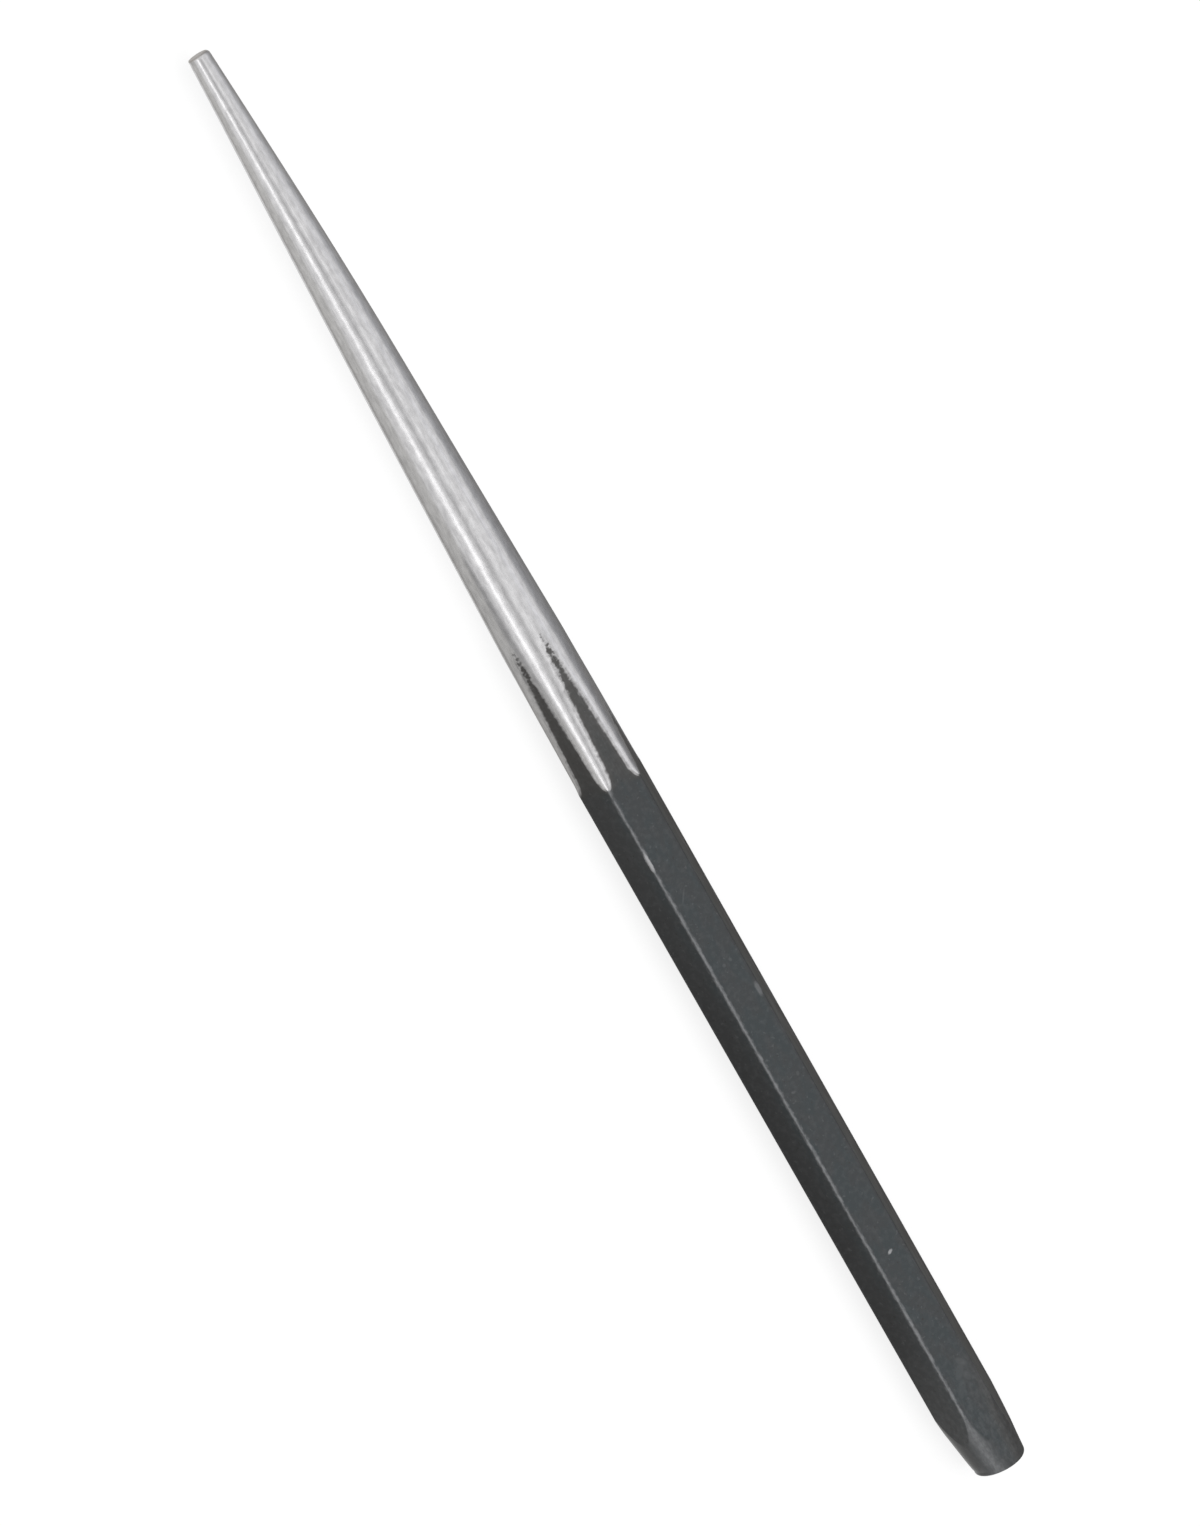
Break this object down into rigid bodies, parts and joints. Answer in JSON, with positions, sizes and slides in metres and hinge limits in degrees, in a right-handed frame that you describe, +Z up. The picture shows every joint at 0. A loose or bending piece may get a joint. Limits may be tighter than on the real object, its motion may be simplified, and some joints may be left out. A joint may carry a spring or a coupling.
{
  "type": "line-up punch",
  "caption": "Long hexagon-bar alignment punch with a slim ground taper to a blunt tip and a bevelled struck end, for drawing holes into line.",
  "frame": {"origin": "on the surface the punch lies on, under the middle of its length, with its lowest flat on that surface", "axes": "+X along the bar from the tip to the struck end, +Y across two corners of the hexagon, +Z up out of the top flat"},
  "size_m": [0.31, 0.0138, 0.012],
  "materials": {
    "tool_steel": "black oxide on the hexagon and the struck end, ground bright on the taper"
  },
  "bodies": {
    "root": {"punch": "tool_steel"}
  },
  "joints": []
}
